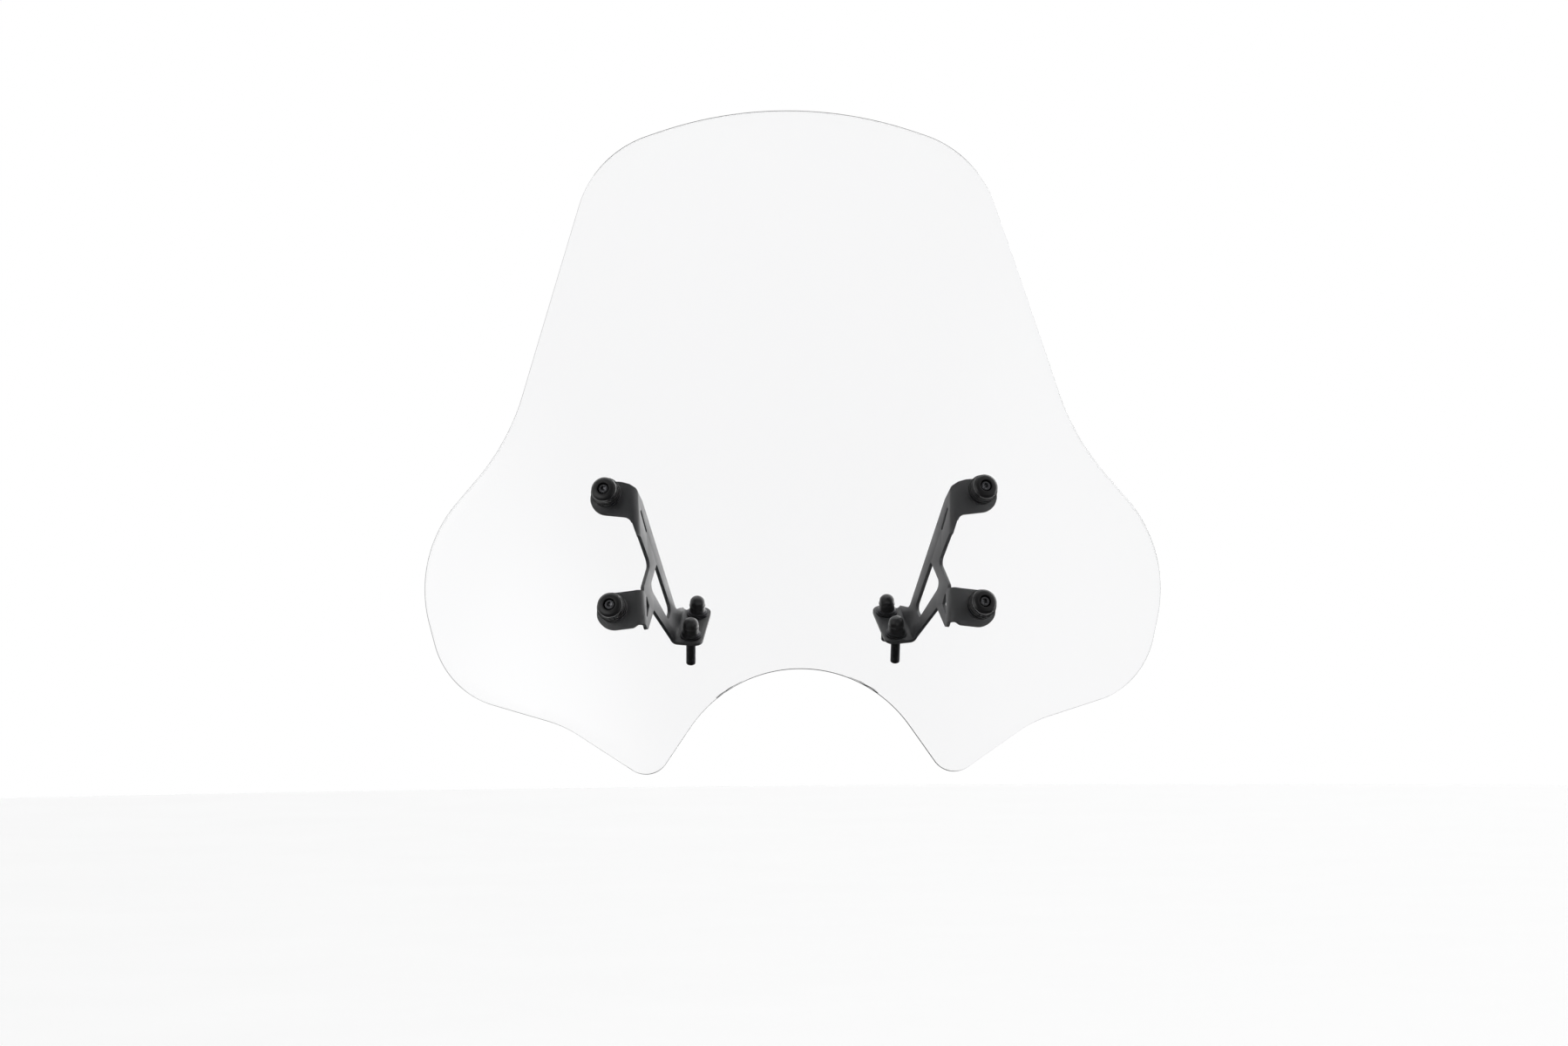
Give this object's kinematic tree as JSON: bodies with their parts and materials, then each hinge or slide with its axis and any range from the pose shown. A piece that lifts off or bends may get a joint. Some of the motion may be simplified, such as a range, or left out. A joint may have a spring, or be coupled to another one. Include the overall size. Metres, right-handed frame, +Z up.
{
  "type": "motorcycle windshield screen",
  "caption": "Clear curved touring windshield sheet on rubber mounts, held by bent black steel side brackets that bolt down onto a motorcycle's handlebar clamp.",
  "frame": {"origin": "midway between the handlebar clamp bolts, in the plane of the bracket tabs' undersides, where the tabs rest on the clamp", "axes": "+X to the right as seen from in front of the motorcycle, -Y forward towards the headlight, +Z up"},
  "size_m": [0.6204, 0.2157, 0.5617],
  "materials": {
    "clear_sheet": "polished clear acrylic",
    "coated_steel": "satin black powder coat",
    "rubber": "matt black",
    "black_cup": "semi-gloss black",
    "stainless": "turned stainless steel",
    "alloy": "turned",
    "zinc_plate": "bright zinc plate",
    "nylon": "natural nylon",
    "black_zinc": "black zinc plate",
    "black_plastic": "moulded, fine grain"
  },
  "bodies": {
    "windshield": {"screen": "clear_sheet", "right_bracket": "coated_steel", "left_bracket": "coated_steel", "upper_right_grommet": "rubber", "upper_right_sleeve": "alloy", "upper_right_rear_spacer": "rubber", "upper_right_rear_washer": "zinc_plate", "upper_right_nut": "zinc_plate", "upper_right_nut_insert": "nylon", "lower_right_grommet": "rubber", "lower_right_sleeve": "alloy", "lower_right_rear_spacer": "rubber", "lower_right_rear_washer": "zinc_plate", "lower_right_nut": "zinc_plate", "lower_right_nut_insert": "nylon", "front_right_clamp_bolt": "black_zinc", "front_right_clamp_washer": "black_zinc", "rear_right_clamp_bolt": "black_zinc", "rear_right_clamp_washer": "black_zinc", "upper_left_grommet": "rubber", "upper_left_sleeve": "alloy", "upper_left_rear_spacer": "rubber", "upper_left_rear_washer": "zinc_plate", "upper_left_nut": "zinc_plate", "upper_left_nut_insert": "nylon", "lower_left_grommet": "rubber", "lower_left_sleeve": "alloy", "lower_left_rear_spacer": "rubber", "lower_left_rear_washer": "zinc_plate", "lower_left_nut": "zinc_plate", "lower_left_nut_insert": "nylon", "front_left_clamp_bolt": "black_zinc", "front_left_clamp_washer": "black_zinc", "rear_left_clamp_bolt": "black_zinc", "rear_left_clamp_washer": "black_zinc"},
    "upper_right_cup": {"upper_right_cup_washer": "black_cup"},
    "upper_right_screw": {"upper_right_screen_screw": "stainless"},
    "lower_right_cup": {"lower_right_cup_washer": "black_cup"},
    "lower_right_screw": {"lower_right_screen_screw": "stainless"},
    "front_right_cap": {"front_right_bolt_cap": "black_plastic"},
    "rear_right_cap": {"rear_right_bolt_cap": "black_plastic"},
    "upper_left_cup": {"upper_left_cup_washer": "black_cup"},
    "upper_left_screw": {"upper_left_screen_screw": "stainless"},
    "lower_left_cup": {"lower_left_cup_washer": "black_cup"},
    "lower_left_screw": {"lower_left_screen_screw": "stainless"},
    "front_left_cap": {"front_left_bolt_cap": "black_plastic"},
    "rear_left_cap": {"rear_left_bolt_cap": "black_plastic"}
  },
  "joints": [
    {"name": "upper_right_cup_slide", "type": "slide", "parent": "windshield", "child": "upper_right_cup", "axis": [0.2301, -0.9125, 0.3383], "range_m": [0, 0.0096]},
    {"name": "upper_right_screw_turn", "type": "hinge", "parent": "upper_right_cup", "child": "upper_right_screw", "pos_m": [0.1565, -0.06289, 0.114], "axis": [0.2301, -0.9125, 0.3383], "range_deg": [0, 4320]},
    {"name": "lower_right_cup_slide", "type": "slide", "parent": "windshield", "child": "lower_right_cup", "axis": [0.2269, -0.9281, 0.2951], "range_m": [0, 0.0096]},
    {"name": "lower_right_screw_turn", "type": "hinge", "parent": "lower_right_cup", "child": "lower_right_screw", "pos_m": [0.152, -0.09672, 0.019], "axis": [0.2269, -0.9281, 0.2951], "range_deg": [0, 4320]},
    {"name": "front_right_cap_pull", "type": "slide", "parent": "windshield", "child": "front_right_cap", "axis": [0, -0.5299, 0.848], "range_m": [0, 0.012]},
    {"name": "rear_right_cap_pull", "type": "slide", "parent": "windshield", "child": "rear_right_cap", "axis": [0, -0.5299, 0.848], "range_m": [0, 0.012]},
    {"name": "upper_left_cup_slide", "type": "slide", "parent": "windshield", "child": "upper_left_cup", "axis": [-0.2301, -0.9125, 0.3383], "range_m": [0, 0.0096]},
    {"name": "upper_left_screw_turn", "type": "hinge", "parent": "upper_left_cup", "child": "upper_left_screw", "pos_m": [-0.1565, -0.06289, 0.114], "axis": [-0.2301, -0.9125, 0.3383], "range_deg": [0, 4320]},
    {"name": "lower_left_cup_slide", "type": "slide", "parent": "windshield", "child": "lower_left_cup", "axis": [-0.2269, -0.9281, 0.2951], "range_m": [0, 0.0096]},
    {"name": "lower_left_screw_turn", "type": "hinge", "parent": "lower_left_cup", "child": "lower_left_screw", "pos_m": [-0.152, -0.09672, 0.019], "axis": [-0.2269, -0.9281, 0.2951], "range_deg": [0, 4320]},
    {"name": "front_left_cap_pull", "type": "slide", "parent": "windshield", "child": "front_left_cap", "axis": [0, -0.5299, 0.848], "range_m": [0, 0.012]},
    {"name": "rear_left_cap_pull", "type": "slide", "parent": "windshield", "child": "rear_left_cap", "axis": [0, -0.5299, 0.848], "range_m": [0, 0.012]}
  ],
  "couplings": [
    {"joint": "upper_right_screw_turn", "follows": "upper_right_cup_slide", "rad_per_m": 7854},
    {"joint": "lower_right_screw_turn", "follows": "lower_right_cup_slide", "rad_per_m": 7854},
    {"joint": "upper_left_screw_turn", "follows": "upper_left_cup_slide", "rad_per_m": 7854},
    {"joint": "lower_left_screw_turn", "follows": "lower_left_cup_slide", "rad_per_m": 7854}
  ]
}
